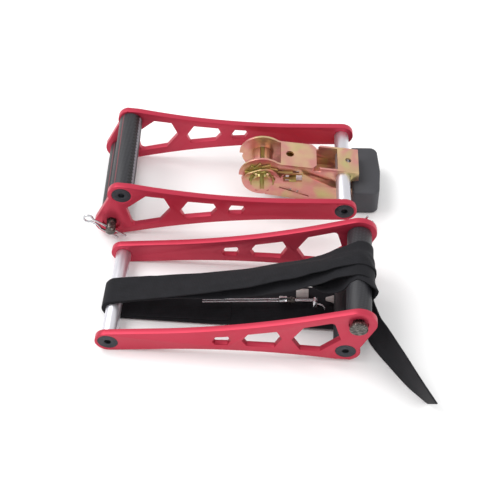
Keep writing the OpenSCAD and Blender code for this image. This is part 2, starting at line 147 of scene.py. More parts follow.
def wrap_map(obj, centre, axis, turned=0.0):
    """A UV map in millimetres for a round piece: round its axis, shifted by turned, and along it."""
    axis = Vector(axis).normalized()
    side = axis.cross(Vector((0, 0, 1))).normalized()
    top = side.cross(axis)
    layer = obj.data.uv_layers.get("wrap") or obj.data.uv_layers.new(name="wrap")
    for face in obj.data.polygons:
        mid = face.center - centre
        start = math.atan2(mid.dot(side), mid.dot(top))
        for i in face.loop_indices:
            q = obj.data.vertices[obj.data.loops[i].vertex_index].co - centre
            turn = math.atan2(q.dot(side), q.dot(top))
            turn += 2 * math.pi * round((start - turn) / (2 * math.pi))
            radius = (q - axis * q.dot(axis)).length
            layer.data[i].uv = (turn * HOSE_R + turned if radius > 0 else turned, q.dot(axis) / MM)


def finish_piece(obj, body, slot, material, *nodes):
    obj.data.materials.clear()
    obj.data.materials.append(material)
    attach(obj, body)
    if nodes:
        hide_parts(*nodes)
    return obj


# ---------------------------------------------------------------- materials

def linear(hex_colour):
    """An sRGB hex colour as linear RGBA."""
    parts = [int(hex_colour[i:i + 2], 16) / 255 for i in (1, 3, 5)]
    return (*[c / 12.92 if c <= 0.04045 else ((c + 0.055) / 1.055) ** 2.4 for c in parts], 1.0)


def add_node(tree, kind, inputs=None, **settings):
    """Adds a shader node; an input that is a socket is linked, any other is set."""
    made = tree.nodes.new(kind)
    for key, value in settings.items():
        setattr(made, key, value)
    for key, value in (inputs or {}).items():
        if isinstance(value, bpy.types.NodeSocket):
            tree.links.new(value, made.inputs[key])
        else:
            made.inputs[key].default_value = value
    return made


def new_material(name, **shader):
    """A material with its shader node, whose plain values are set from the keywords."""
    material = bpy.data.materials.new(name)
    material.use_nodes = True
    tree = material.node_tree
    principled = tree.nodes["Principled BSDF"]
    for key, value in shader.items():
        principled.inputs[key.replace("_", " ")].default_value = value
    return material, tree, principled


# Mix node sockets for colours
MIX_A, MIX_B, MIX_OUT = 6, 7, 2


def anodised_aluminium():
    # Clear red dye in a blasted, sealed oxide: a satin metal, deep in shade and pink in the light
    material, tree, shader = new_material("red_anodised_aluminium", Metallic=0.55, Roughness=0.42)
    place = add_node(tree, "ShaderNodeTexCoord").outputs["Object"]
    # Dye takes unevenly over a few centimetres
    cloud = add_node(tree, "ShaderNodeTexNoise",
                     {"Vector": place, "Scale": 22.0, "Detail": 3.0, "Roughness": 0.5})
    tint = add_node(tree, "ShaderNodeMix",
                    {0: cloud.outputs["Fac"], MIX_A: linear("#b4283f"), MIX_B: linear("#c43a52")},
                    data_type="RGBA")
    tree.links.new(tint.outputs[MIX_OUT], shader.inputs["Base Color"])
    # Blasting grit about 0.35 mm across
    grit = add_node(tree, "ShaderNodeTexNoise", {"Vector": place, "Scale": 2800.0, "Detail": 2.0})
    rough = add_node(tree, "ShaderNodeMapRange",
                     {"Value": grit.outputs["Fac"], "From Min": 0.3, "From Max": 0.7, "To Min": 0.34,
                      "To Max": 0.46})
    tree.links.new(rough.outputs["Result"], shader.inputs["Roughness"])
    bump = add_node(tree, "ShaderNodeBump",
                    {"Height": grit.outputs["Fac"], "Strength": 0.12, "Distance": 0.00006})
    tree.links.new(bump.outputs["Normal"], shader.inputs["Normal"])
    return material


def turned_aluminium():
    # Bare bar stock, turned and lightly tumbled: pale, satin, with fine rings round it
    material, tree, shader = new_material("turned_aluminium", Metallic=0.9, Roughness=0.38)
    place = add_node(tree, "ShaderNodeTexCoord").outputs["Object"]
    # Feed marks, drawn at 0.9 mm so that they show
    rings = add_node(tree, "ShaderNodeTexWave",
                     {"Vector": place, "Scale": 350.0, "Distortion": 0.6, "Detail": 1.0},
                     bands_direction="Y")
    haze = add_node(tree, "ShaderNodeTexNoise", {"Vector": place, "Scale": 60.0, "Detail": 3.0})
    tint = add_node(tree, "ShaderNodeMix",
                    {0: haze.outputs["Fac"], MIX_A: linear("#d2d1d8"), MIX_B: linear("#e6e5ea")},
                    data_type="RGBA")
    tree.links.new(tint.outputs[MIX_OUT], shader.inputs["Base Color"])
    bump = add_node(tree, "ShaderNodeBump",
                    {"Height": rings.outputs["Fac"], "Strength": 0.1, "Distance": 0.00004})
    tree.links.new(bump.outputs["Normal"], shader.inputs["Normal"])
    return material


def black_oxide_steel():
    # Alloy steel screws, hot blackened: a soft blue-grey sheen on the faces, near black in the socket.
    # The oxide clouds over about 2 mm
    material, tree, shader = new_material("black_oxide_steel", Metallic=0.75, Roughness=0.42)
    place = add_node(tree, "ShaderNodeTexCoord").outputs["Object"]
    cloud = add_node(tree, "ShaderNodeTexNoise", {"Vector": place, "Scale": 500.0, "Detail": 3.0})
    tint = add_node(tree, "ShaderNodeMix",
                    {0: cloud.outputs["Fac"], MIX_A: linear("#2a2c30"), MIX_B: linear("#44474d")},
                    data_type="RGBA")
    tree.links.new(tint.outputs[MIX_OUT], shader.inputs["Base Color"])
    return material


def ribbed_hose_rubber():
    # Extruded rubber hose, cured in cloth: dark grey, faintly twilled, with a ribbed seam, a pale painted
    # highlight beside it and a thin red line that is a painted reflection of the red side plate. Their
    # places are lengths round the hose from its top, in millimetres
    red_reflection_at, seam_at, strip_at = -5.6, 7.4, 10.6
    material, tree, shader = new_material("cloth_marked_hose_rubber", Roughness=0.5)
    wrap = add_node(tree, "ShaderNodeUVMap", uv_map="wrap").outputs["UV"]
    # Twill lines, 1.3 mm apart
    turned = add_node(tree, "ShaderNodeMapping", {"Vector": wrap, "Rotation": (0, 0, math.radians(62))})
    twill = add_node(tree, "ShaderNodeTexWave",
                     {"Vector": turned.outputs["Vector"], "Scale": 0.24, "Distortion": 0.4,
                      "Detail": 1.0, "Detail Scale": 2.0})
    cross = add_node(tree, "ShaderNodeTexWave", {"Vector": wrap, "Scale": 0.2, "Distortion": 0.5},
                     bands_direction="Y")
    cloth = add_node(tree, "ShaderNodeMath", {0: twill.outputs["Fac"], 1: cross.outputs["Fac"]},
                     operation="MULTIPLY")
    split = add_node(tree, "ShaderNodeSeparateXYZ", {0: wrap})
    # Painted reflection of the red side plate: a red line about 0.8 mm wide
    off_red_reflection = add_node(tree, "ShaderNodeMath", {0: split.outputs["X"], 1: red_reflection_at},
                        operation="SUBTRACT")
    near_red_reflection = add_node(tree, "ShaderNodeMath", {0: off_red_reflection.outputs[0]}, operation="ABSOLUTE")
    line = add_node(tree, "ShaderNodeMapRange",
                    {"Value": near_red_reflection.outputs[0], "From Min": 0.25, "From Max": 0.6, "To Min": 0.75,
                     "To Max": 0.0})
    grey = add_node(tree, "ShaderNodeMix",
                    {0: cloth.outputs[0], MIX_A: linear("#202024"), MIX_B: linear("#35353a")},
                    data_type="RGBA")
    # The painted red reflection is mixed over the grey here
    tint = add_node(tree, "ShaderNodeMix",
                    {0: line.outputs["Result"], MIX_A: grey.outputs[MIX_OUT], MIX_B: linear("#8a3640")},
                    data_type="RGBA")
    # Seam: a dark saw-toothed line, its teeth drawn 3.6 mm apart so that they show, and a ribbed strip
    # beside it painted pale as a highlight
    ribs = add_node(tree, "ShaderNodeTexWave", {"Vector": wrap, "Scale": 0.087}, bands_direction="Y")
    off_seam = add_node(tree, "ShaderNodeMath", {0: split.outputs["X"], 1: seam_at},
                        operation="SUBTRACT")
    jagged = add_node(tree, "ShaderNodeMath", {0: ribs.outputs["Fac"], 1: 3.0, 2: off_seam.outputs[0]},
                      operation="MULTIPLY_ADD")
    near_seam = add_node(tree, "ShaderNodeMath", {0: jagged.outputs[0], 1: 1.4}, operation="SUBTRACT")
    seam_gap = add_node(tree, "ShaderNodeMath", {0: near_seam.outputs[0]}, operation="ABSOLUTE")
    seam = add_node(tree, "ShaderNodeMapRange",
                    {"Value": seam_gap.outputs[0], "From Min": 0.9, "From Max": 1.3, "To Min": 1.0,
                     "To Max": 0.0})
    off_strip = add_node(tree, "ShaderNodeMath", {0: split.outputs["X"], 1: strip_at},
                         operation="SUBTRACT")
    near_strip = add_node(tree, "ShaderNodeMath", {0: off_strip.outputs[0]}, operation="ABSOLUTE")
    strip_mask = add_node(tree, "ShaderNodeMapRange",
                          {"Value": near_strip.outputs[0], "From Min": 1.2, "From Max": 1.8,
                           "To Min": 0.8, "To Max": 0.0})
    # Painted highlight: the ribbed strip beside the seam is painted pale grey
    paler = add_node(tree, "ShaderNodeMix",
                     {0: strip_mask.outputs["Result"], MIX_A: tint.outputs[MIX_OUT],
                      MIX_B: linear("#8b8a92")}, data_type="RGBA")
    seamed = add_node(tree, "ShaderNodeMix",
                      {0: seam.outputs["Result"], MIX_A: paler.outputs[MIX_OUT],
                       MIX_B: linear("#060607")}, data_type="RGBA")
    tree.links.new(seamed.outputs[MIX_OUT], shader.inputs["Base Color"])
    ribbing = add_node(tree, "ShaderNodeMath", {0: ribs.outputs["Fac"], 1: strip_mask.outputs["Result"]},
                       operation="MULTIPLY")
    height = add_node(tree, "ShaderNodeMath", {0: ribbing.outputs[0], 1: 4.0, 2: cloth.outputs[0]},
                      operation="MULTIPLY_ADD")
    bump = add_node(tree, "ShaderNodeBump",
                    {"Height": height.outputs[0], "Strength": 0.6, "Distance": 0.00018})
    tree.links.new(bump.outputs["Normal"], shader.inputs["Normal"])
    return material


def moulded_rubber():
    # Moulded rubber grip: charcoal, matt, with the faint grain of its mould
    material, tree, shader = new_material("moulded_grip_rubber", Roughness=0.55)
    place = add_node(tree, "ShaderNodeTexCoord").outputs["Object"]
    grain = add_node(tree, "ShaderNodeTexNoise", {"Vector": place, "Scale": 1300.0, "Detail": 2.0})
    cloud = add_node(tree, "ShaderNodeTexNoise", {"Vector": place, "Scale": 70.0, "Detail": 2.0})
    tint = add_node(tree, "ShaderNodeMix",
                    {0: cloud.outputs["Fac"], MIX_A: linear("#303034"), MIX_B: linear("#3d3d42")},
                    data_type="RGBA")
    tree.links.new(tint.outputs[MIX_OUT], shader.inputs["Base Color"])
    bump = add_node(tree, "ShaderNodeBump",
                    {"Height": grain.outputs["Fac"], "Strength": 0.25, "Distance": 0.0001})
    tree.links.new(bump.outputs["Normal"], shader.inputs["Normal"])
    return material


def scuffed_pin_steel():
    # Phosphated steel pin, its head rubbed and scratched bright by handling
    material, tree, shader = new_material("scuffed_pin_steel", Metallic=0.9, Roughness=0.4)
    place = add_node(tree, "ShaderNodeTexCoord").outputs["Object"]
    squeezed = add_node(tree, "ShaderNodeMapping",
                        {"Vector": place, "Rotation": (0.3, 0.5, 0.2), "Scale": (1, 1, 6)})
    scratches = add_node(tree, "ShaderNodeTexNoise",
                         {"Vector": squeezed.outputs["Vector"], "Scale": 320.0, "Detail": 5.0,
                          "Roughness": 0.7})
    worn = add_node(tree, "ShaderNodeMapRange",
                    {"Value": scratches.outputs["Fac"], "From Min": 0.48, "From Max": 0.66})
    tint = add_node(tree, "ShaderNodeMix",
                    {0: worn.outputs["Result"], MIX_A: linear("#474442"), MIX_B: linear("#a09a93")},
                    data_type="RGBA")
    tree.links.new(tint.outputs[MIX_OUT], shader.inputs["Base Color"])
    bump = add_node(tree, "ShaderNodeBump",
                    {"Height": scratches.outputs["Fac"], "Strength": 0.3, "Distance": 0.0001})
    tree.links.new(bump.outputs["Normal"], shader.inputs["Normal"])
    return material


def bright_zinc_wire():
    # Drawn wire with bright zinc: a clean grey mirror, a little cloudy every few millimetres
    material, tree, shader = new_material("bright_zinc_wire", Metallic=1.0, Roughness=0.22)
    place = add_node(tree, "ShaderNodeTexCoord").outputs["Object"]
    cloud = add_node(tree, "ShaderNodeTexNoise", {"Vector": place, "Scale": 400.0, "Detail": 3.0})
    tint = add_node(tree, "ShaderNodeMix",
                    {0: cloud.outputs["Fac"], MIX_A: linear("#a9a9ad"), MIX_B: linear("#dddde0")},
                    data_type="RGBA")
    tree.links.new(tint.outputs[MIX_OUT], shader.inputs["Base Color"])
    return material


def chromated_zinc(name, greens, roses, metallic, roughness):
    # Yellow chromate over zinc: a thin film that shifts between straw, rose and green
    material, tree, shader = new_material(name, Metallic=metallic, Roughness=roughness)
    place = add_node(tree, "ShaderNodeTexCoord").outputs["Object"]
    film = add_node(tree, "ShaderNodeTexNoise",
                    {"Vector": place, "Scale": 42.0, "Detail": 1.5, "Distortion": 0.5})
    drift = add_node(tree, "ShaderNodeTexNoise",
                     {"Vector": place, "Scale": 60.0, "Detail": 1.5, "Roughness": 0.5})
    to_green = add_node(tree, "ShaderNodeMapRange",
                        {"Value": film.outputs["Fac"], "From Min": 0.56, "From Max": 0.72})
    to_rose = add_node(tree, "ShaderNodeMapRange",
                       {"Value": drift.outputs["Fac"], "From Min": 0.3, "From Max": 0.54})
    warm = add_node(tree, "ShaderNodeMix",
                    {0: to_rose.outputs["Result"], MIX_A: linear(roses[0]), MIX_B: linear(roses[1])},
                    data_type="RGBA")
    tint = add_node(tree, "ShaderNodeMix",
                    {0: to_green.outputs["Result"], MIX_A: warm.outputs[MIX_OUT], MIX_B: linear(greens)},
                    data_type="RGBA")
    tree.links.new(tint.outputs[MIX_OUT], shader.inputs["Base Color"])
    # Rolled sheet, faintly uneven over 2 mm
    uneven = add_node(tree, "ShaderNodeTexNoise", {"Vector": place, "Scale": 480.0, "Detail": 3.0})
    bump = add_node(tree, "ShaderNodeBump",
                    {"Height": uneven.outputs["Fac"], "Strength": 0.15, "Distance": 0.00015})
    tree.links.new(bump.outputs["Normal"], shader.inputs["Normal"])
    return material


def woven_webbing():
    # Polyester webbing, dyed black: matt, with fine crosswise picks and warp ribs that catch some light
    material, tree, shader = new_material("woven_black_webbing", Roughness=0.8, Specular_IOR_Level=0.18)
    shader.inputs["Sheen Weight"].default_value = 0.05
    shader.inputs["Sheen Roughness"].default_value = 0.4
    weave = add_node(tree, "ShaderNodeUVMap", uv_map="weave").outputs["UV"]
    # Picks are 0.6 mm apart on the real one and are drawn at 1.2 mm so that they show
    picks = add_node(tree, "ShaderNodeTexWave", {"Vector": weave, "Scale": 0.26, "Distortion": 0.3},
                     bands_direction="X")
    ribs = add_node(tree, "ShaderNodeTexWave", {"Vector": weave, "Scale": 0.21, "Distortion": 0.2},
                    bands_direction="Y")
    cloth = add_node(tree, "ShaderNodeMath", {0: picks.outputs["Fac"], 1: ribs.outputs["Fac"]},
                     operation="MULTIPLY")
    cloud = add_node(tree, "ShaderNodeTexNoise", {"Vector": weave, "Scale": 0.12, "Detail": 3.0})
    shade = add_node(tree, "ShaderNodeMath", {0: cloth.outputs[0], 1: 0.6, 2: cloud.outputs["Fac"]},
                     operation="MULTIPLY_ADD")
    tint = add_node(tree, "ShaderNodeMix",
                    {0: shade.outputs[0], MIX_A: linear("#131315"), MIX_B: linear("#222226")},
                    data_type="RGBA")
    tree.links.new(tint.outputs[MIX_OUT], shader.inputs["Base Color"])
    bump = add_node(tree, "ShaderNodeBump",
                    {"Height": cloth.outputs[0], "Strength": 0.5, "Distance": 0.00015})
    tree.links.new(bump.outputs["Normal"], shader.inputs["Normal"])
    return material


def soft_sleeve_plastic():
    # Soft vinyl sleeve: warm grey, matt, a little dusty
    material, tree, shader = new_material("soft_sleeve_vinyl", Roughness=0.5)
    place = add_node(tree, "ShaderNodeTexCoord").outputs["Object"]
    cloud = add_node(tree, "ShaderNodeTexNoise", {"Vector": place, "Scale": 350.0, "Detail": 3.0})
    tint = add_node(tree, "ShaderNodeMix",
                    {0: cloud.outputs["Fac"], MIX_A: linear("#a8a09d"), MIX_B: linear("#cfc8c5")},
                    data_type="RGBA")
    tree.links.new(tint.outputs[MIX_OUT], shader.inputs["Base Color"])
    return material


RED = anodised_aluminium()
SILVER = turned_aluminium()
OXIDE = black_oxide_steel()
HOSE = ribbed_hose_rubber()
GRIP = moulded_rubber()
PIN = scuffed_pin_steel()
WIRE = bright_zinc_wire()
ZINC = chromated_zinc("yellow_chromated_zinc", "#c9bd84", ("#dbbd92", "#d8988f"), 0.85, 0.32)
OLIVE = chromated_zinc("olive_chromated_zinc", "#9a9d55", ("#c0b266", "#ab9560"), 0.85, 0.38)
WEBBING = woven_webbing()
SLEEVE = soft_sleeve_plastic()

# ---------------------------------------------------------------- metalwork of the two yokes

for yoke in ("ratchet_yoke", "strap_yoke"):
    for side in ("near", "far"):
        node = f"{yoke}_{side}_plate"
        plate = softened(node, f"{yoke}_{side}_side_plate", 0.55, segments=3)
        finish_piece(plate, yoke, "red_anodised", RED, node)
    for part in ("crossbar", "roller_shaft"):
        node = f"{yoke}_{part}"
        bar = softened(node, f"{node}_bar", 0.25)
        finish_piece(bar, yoke, "satin_aluminium", SILVER, node)
    for part in ("crossbar_screws", "shaft_screws"):
        node = f"{yoke}_{part}"
        screws = softened(node, f"{node}_black", 0.3)
        finish_piece(screws, yoke, "black_oxide", OXIDE, node)
    pin = softened(f"{yoke}_pin", f"{yoke}_clevis_pin", 0.4)
    finish_piece(pin, f"{yoke}_pin", "dark_pin_steel", PIN, f"{yoke}_pin")
    for roller in ("shaft_roller", "pin_roller"):
        node = f"{yoke}_{roller}"
        hose = softened(node, f"{node}_hose", 0.5)
        joint = joints[f"{node}_spin"]
        # The strap yoke's rollers take their seam, painted highlight and painted reflection underneath
        turned = MARKS_AND_PAINTED_LIGHT_HIDDEN if yoke == "strap_yoke" else 0.0
        wrap_map(hose, Vector(joint["pos_m"]), joint["axis"], turned)
        finish_piece(hose, node, "black_rubber", HOSE, node)
    clip = softened(f"{yoke}_pin_clip", f"{yoke}_hairpin_clip", 0.2, angle=60, smooth_angle=60)
    finish_piece(clip, f"{yoke}_pin_clip", "bright_wire", WIRE, f"{yoke}_pin_clip")

# ---------------------------------------------------------------- ratchet buckle

for node, body, slot, material, width in (
        ("buckle_frame", "buckle_frame", "yellow_zinc", ZINC, 0.42),
        ("buckle_handle", "buckle_handle", "yellow_zinc", ZINC, 0.42),
        ("buckle_spool_halves", "buckle_spool", "yellow_zinc", ZINC, 0.3),
        ("buckle_ratchet_wheels", "buckle_spool", "olive_zinc", OLIVE, 0.25),
        ("buckle_lock_washers", "buckle_spool", "olive_zinc", OLIVE, 0.15),
        ("buckle_cotter_pins", "buckle_spool", "yellow_zinc", ZINC, 0.1),
        ("buckle_handle_tube", "buckle_handle", "bright_wire", WIRE, 0.2),
        ("buckle_pull_pawl", "buckle_pull_pawl", "olive_zinc", OLIVE, 0.3),
        ("buckle_lock_pawl", "buckle_lock_pawl", "olive_zinc", OLIVE, 0.3)):
    piece = softened(node, node + "_piece", width)
    finish_piece(piece, body, slot, material, node)

# Moulded grip: a block with its outer corners well rounded and a slightly bulging outer side
low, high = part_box("buckle_grip")
bulge = 1.4 * MM
CORNER_R = 6.5 * MM
ON_MIDDLE = 1e-5
middle, size = (low + high) / 2, high - low
deselect_all()
bpy.ops.mesh.primitive_cube_add(size=1, location=(middle.x - bulge / 2, middle.y, middle.z),
                                scale=(size.x - bulge, size.y, size.z))
grip = new_piece("buckle_grip_moulded")
place_in_mesh(grip)
pick(grip)
bpy.ops.object.mode_set(mode="EDIT")
bpy.ops.mesh.select_mode(type="EDGE")
select_edges(grip, lambda a, b: min(a.x, b.x) > middle.x and abs(a.z - b.z) > 0.5 * size.z)
bpy.ops.mesh.bevel(offset=CORNER_R, segments=6, affect="EDGES")
bpy.ops.mesh.select_all(action="SELECT")
bpy.ops.mesh.bisect(plane_co=middle, plane_no=(0, 1, 0))
select_edges(grip, lambda a, b: min(a.x, b.x) > middle.x
             and max(abs(a.y - middle.y), abs(b.y - middle.y)) < ON_MIDDLE
             and abs(a.z - b.z) > 0.5 * size.z)
bpy.ops.transform.translate(value=(bulge, 0, 0))
bpy.ops.object.mode_set(mode="OBJECT")
apply_modifier(grip, "BEVEL", width=2.0 * MM, segments=4, limit_method="ANGLE",
               angle_limit=math.radians(40))
smooth(grip, 40)
finish_piece(grip, "buckle_handle", "black_rubber", GRIP, "buckle_grip")

# Coil springs, wound from wire along the slide of each pawl
SPRING_WIRE_R = 0.35 * MM
for node, body in (("buckle_pull_spring", "buckle_handle"), ("buckle_lock_spring", "buckle_frame")):
    low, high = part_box(node)
    middle = (low + high) / 2
    radius = (high.y - low.y) / 2 - SPRING_WIRE_R
    turns, points = 6, 72
    deselect_all()
    bpy.ops.curve.primitive_bezier_curve_add(location=(0, 0, 0))
    coil = new_piece(node + "_coil")
    spline = coil.data.splines.new("POLY")
    coil.data.splines.remove(coil.data.splines[0])
    spline.points.add(points)
    for i in range(points + 1):
        turn = 2 * math.pi * turns * i / points
        spline.points[i].co = (low.x + SPRING_WIRE_R + (high.x - low.x - 2 * SPRING_WIRE_R) * i / points,
                               middle.y + radius * math.cos(turn), middle.z + radius * math.sin(turn), 1)
    coil.data.dimensions = "3D"
    coil.data.bevel_depth = SPRING_WIRE_R
    coil.data.bevel_resolution = 2
    coil.data.use_fill_caps = True
    bpy.ops.object.convert(target="MESH")
    coil = bpy.context.active_object
    place_in_mesh(coil)
    smooth(coil, 60)
    finish_piece(coil, body, "bright_wire", WIRE, node)

# ---------------------------------------------------------------- small hook inside the webbing

for node, slot, material, width in (
        ("hook_wires", "bright_wire", WIRE, 0.1), ("hook_ferrule", "bright_wire", WIRE, 0.5),
        ("hook_swivel", "dark_pin_steel", PIN, 0.4), ("hook_bar", "bright_wire", WIRE, 0.3),
        ("hook_tongue", "bright_wire", WIRE, 0.1), ("hook_sleeve", "pale_sleeve", SLEEVE, 0.5),
        ("hook_cap", "pale_sleeve", SLEEVE, 0.3)):
    piece = softened(node, node + "_piece", width)
    finish_piece(piece, "strap_yoke", slot, material, node)

# ---------------------------------------------------------------- webbing

WEBBING_W = 24.4     # width
LAYER_T = 1.15       # thickness of one layer
BAR_R, ROLLER_R = 6.15, 9.65
CENTRES = ((0.0, 0.0, BAR_R), (*BAR_TO_SCREW, ROLLER_R), (*BAR_TO_PIN, ROLLER_R))
# A turn goes through numbered stations: half of the low strand, round the crossbar, along the top
# strand, round the pin's roller, down the wide end, round the screwed roller, and the rest of the low strand
LOW_STEPS, BAR_STEPS, TOP_STEPS, ROLLER_STEPS, WIDE_STEPS = 14, 16, 34, 12, 6
TOP_FROM = LOW_STEPS + BAR_STEPS
TOP_TO = TOP_FROM + TOP_STEPS
LOW_FROM = TOP_TO + 2 * ROLLER_STEPS + WIDE_STEPS


def clockwise_stations():
    """Stations of one turn, from under the middle of the yoke and by the crossbar: (along, up, radius,
    angle of the outward normal)."""
    bar, screw, pin = CENTRES

    def outer_normal(a, b):
        # The strap passes clockwise, so its outside is on the left of its run
        run = math.atan2(b[1] - a[1], b[0] - a[0])
        gap = math.hypot(b[0] - a[0], b[1] - a[1])
        return run + math.pi / 2 - math.asin((b[2] - a[2]) / gap)

    low = outer_normal(screw, bar) % (2 * math.pi)         # points down
    top = outer_normal(bar, pin) % (2 * math.pi)           # points up
    wide = outer_normal(pin, screw) % (2 * math.pi)        # points right
    out = []

    def line(a, b, t0, t1, normal, steps):
        for i in range(steps):
            t = t0 + (t1 - t0) * i / steps
            out.append((a[0] + (b[0] - a[0]) * t, a[1] + (b[1] - a[1]) * t, a[2] + (b[2] - a[2]) * t,
                        normal))

    def bend(c, start, end, steps):
        while end > start:
            end -= 2 * math.pi
        for i in range(steps):
            out.append((c[0], c[1], c[2], start + (end - start) * i / steps))

    line(screw, bar, 0.5, 1.0, low, LOW_STEPS)
    bend(bar, low, top, BAR_STEPS)
    line(bar, pin, 0.0, 1.0, top, TOP_STEPS)
    bend(pin, top, wide, ROLLER_STEPS)
    line(pin, screw, 0.0, 1.0, wide, WIDE_STEPS)
    bend(screw, wide, low, ROLLER_STEPS)
    line(screw, bar, 0.0, 0.5, low, LOW_STEPS)
    return out


STATIONS = clockwise_stations()
PER_TURN = len(STATIONS)


def blend_at(table, x):
    """Value at x in a table of (place, value), eased between its entries."""
    for (x0, v0), (x1, v1) in zip(table, table[1:]):
        if x <= x1:
            t = max(0.0, (x - x0) / (x1 - x0))
            return v0 + (v1 - v0) * t * t * (3 - 2 * t)
    return table[-1][1]


# Near edge of each turn, by station: (station, distance across from the yoke's middle)
NEAR_EDGE = (
    ((0, -15.5), (14, -15.5), (30, -14.7), (36, -12.2), (44, -9.2), (56, -9.2), (59.5, -14.6),
     (62, -14.8), (64, -11.4), (67, -13.6), (71, -19.5), (76, -21.0), (82, -20.6), (94, -18.6),
     (108, -18.4)),
    ((0, -18.4), (14, -17.2), (22, -14.9), (30, -14.8), (54, -14.6), (58, -12.0), (62, -8.6),
     (64, -8.2), (76, -11.5), (82, -6.0), (94, -3.0), (104, -3.5), (108, -5.0)),
    ((0, -5.0), (6, -10.0), (14, -16.6), (22, -14.8), (37, -15.0), (42, -14.3), (48, -12.6),
     (55, -7.7), (59, -3.2), (62, 0.2), (64, 1.2), (76, 0.6), (82, -3.0), (94, -7.0), (108, -10.0)),
)
# Slack of the top strand of each turn: (station, drop of its near edge, drop of its far edge)
NEAR_DROP = (
    ((30, 0.0), (32, -0.5), (44, -8.0), (52, -8.5), (56.5, -8.5), (59, -9.5), (60.5, -10.5),
     (61.2, -10.2), (62, -7.5), (63, -2.2), (64, 0.0)),
    ((30, 0.0), (38, -0.8), (46, -6.8), (50, -7.3), (53, -5.6), (56, -5.4), (58, -3.6), (62, -0.4),
     (64, 0.0)),
    ((30, 0.0), (64, 0.0)),
)
FAR_DROP = (
    ((30, 0.0), (41, -6.0), (52, -8.0), (57.5, -9.0), (60.5, -10.0), (62, -7.0), (63, -2.0),
     (64, 0.0)),
    ((30, 0.0), (37, -2.5), (43, -4.8), (48, -6.2), (55, -7.5), (58, -8.0), (62, -4.0), (64, 0.0)),
    ((30, -0.6), (37, -3.5), (43, -5.4), (48, -6.6), (55, -7.0), (58, -8.4), (62, -4.4), (64, -0.4),
     (70, 0.0)),
)
# The innermost turn is slack and folds along its middle: (station, fold in degrees)
FOLD = ((30, 0.0), (34, 8.0), (42, 60.0), (56.5, 60.0), (61, 0.0), (64, 0.0))
ACROSS_STEPS = 12
LAST_STATION = 86        # the third turn stops here, on the screwed roller, beside the free end's start
DROP_CURVE = 1.4         # power by which a strand's slack goes over from its near to its far edge
FREE_FALL = 20           # how far a turn may hang where nothing is below it
OVERLAP = 1.5            # distance over which a turn climbs onto the edge of the one below
# Turned-out edge of the innermost turn: its station, its length in stations and its height
LIP_AT, LIP_LONG, LIP_HIGH = 71.5, 2.6, 5.0


def turn_value(tables, turn, station):
    return blend_at(tables[turn], station)


def webbing_turns():
    """Rows of points across the strap, each with the length along its middle, for all the turns."""
    rows = []
    length = 0.0
    previous = None
    total = 2 * PER_TURN + LAST_STATION
    for i in range(total + 1):
        turn, station = divmod(i, PER_TURN)
        u, w, radius, normal = STATIONS[station]
        near = turn_value(NEAR_EDGE, turn, station)
        drop_near = turn_value(NEAR_DROP, turn, station) if TOP_FROM <= station <= TOP_TO else 0.0
        drop_far = turn_value(FAR_DROP, turn, station) if TOP_FROM <= station <= TOP_TO + 6 else 0.0
        # Each turn climbs onto the one below while it is under the yoke
        climb = max(0.0, (station - LOW_FROM) / LOW_STEPS) if turn < 2 else 0.0
        folded = turn == 0 and TOP_FROM <= station <= TOP_TO
        fold = math.radians(blend_at(FOLD, station)) if folded else 0.0
        row = []
        for k in range(ACROSS_STEPS + 1):
            side = k / ACROSS_STEPS
            v = near + WEBBING_W * (0.5 + (side - 0.5) * math.cos(fold))
            covered = 0.0
            for below in range(turn):
                edge = turn_value(NEAR_EDGE, below, station) + WEBBING_W
                covered += min(1.0, max(0.0, (edge + OVERLAP - v) / (2 * OVERLAP)))
            height = radius + LAYER_T * (0.5 + covered + climb) + drop_near
            height += (drop_far - drop_near) * side ** DROP_CURVE
            if turn == 0:
                # Its near edge is turned outwards where it leaves the pin's roller
                height += LIP_HIGH * math.exp(-((station - LIP_AT) / LIP_LONG) ** 2) * (1 - side) ** 2
            height -= WEBBING_W / 2 * math.sin(fold) * (0.5 + 0.5 * math.cos(math.pi * (2 * side - 1)))
            if turn > 0 and TOP_FROM <= station <= TOP_TO:
                # A turn never sinks through the one below
                below_near = turn_value(NEAR_DROP, turn - 1, station)
                below_far = turn_value(FAR_DROP, turn - 1, station)
                lowest = radius + LAYER_T * (0.5 + covered) + below_near
                lowest += (below_far - below_near) * side ** DROP_CURVE
                height = max(height, lowest - (1 - min(1.0, covered)) * FREE_FALL)
            row.append(strap_point(u + height * math.cos(normal), v, w + height * math.sin(normal)))
        middle = row[ACROSS_STEPS // 2]
        if previous is not None:
            length += (middle - previous).length
        previous = middle
        rows.append((length / MM, row))
    return rows


def strip(name, rows, thickness):
    """A strip of webbing from rows of points across it, with a UV map in millimetres."""
    deselect_all()
    columns = len(rows[0][1])
    bpy.ops.mesh.primitive_grid_add(x_subdivisions=len(rows) - 1, y_subdivisions=columns - 1, size=1)
    obj = new_piece(name)
    mesh = obj.data
    # The grid's corners, row by row
    order = sorted(range(len(mesh.vertices)),
                   key=lambda n: (round(mesh.vertices[n].co.x, 5), mesh.vertices[n].co.y))
    where = {}
    for rank, n in enumerate(order):
        i, k = divmod(rank, columns)
        mesh.vertices[n].co = rows[i][1][k]
        where[n] = (rows[i][0], WEBBING_W * k / (columns - 1))
    for old in list(mesh.uv_layers):
        mesh.uv_layers.remove(old)
    layer = mesh.uv_layers.new(name="weave")
    for loop in mesh.loops:
        layer.data[loop.index].uv = where[loop.vertex_index]
    apply_modifier(obj, "SOLIDIFY", thickness=thickness * MM, offset=0.0, use_even_offset=True)
    apply_modifier(obj, "BEVEL", width=0.25 * MM, segments=2, limit_method="ANGLE",
                   angle_limit=math.radians(50))
    smooth(obj, 50)
    return obj


TURN_T = LAYER_T * 0.86      # thinner than a layer, so that turns that lie on each other don't touch
turns = strip("webbing_turns", webbing_turns(), TURN_T)
finish_piece(turns, "strap_yoke", "black_webbing", WEBBING, "webbing_winding")

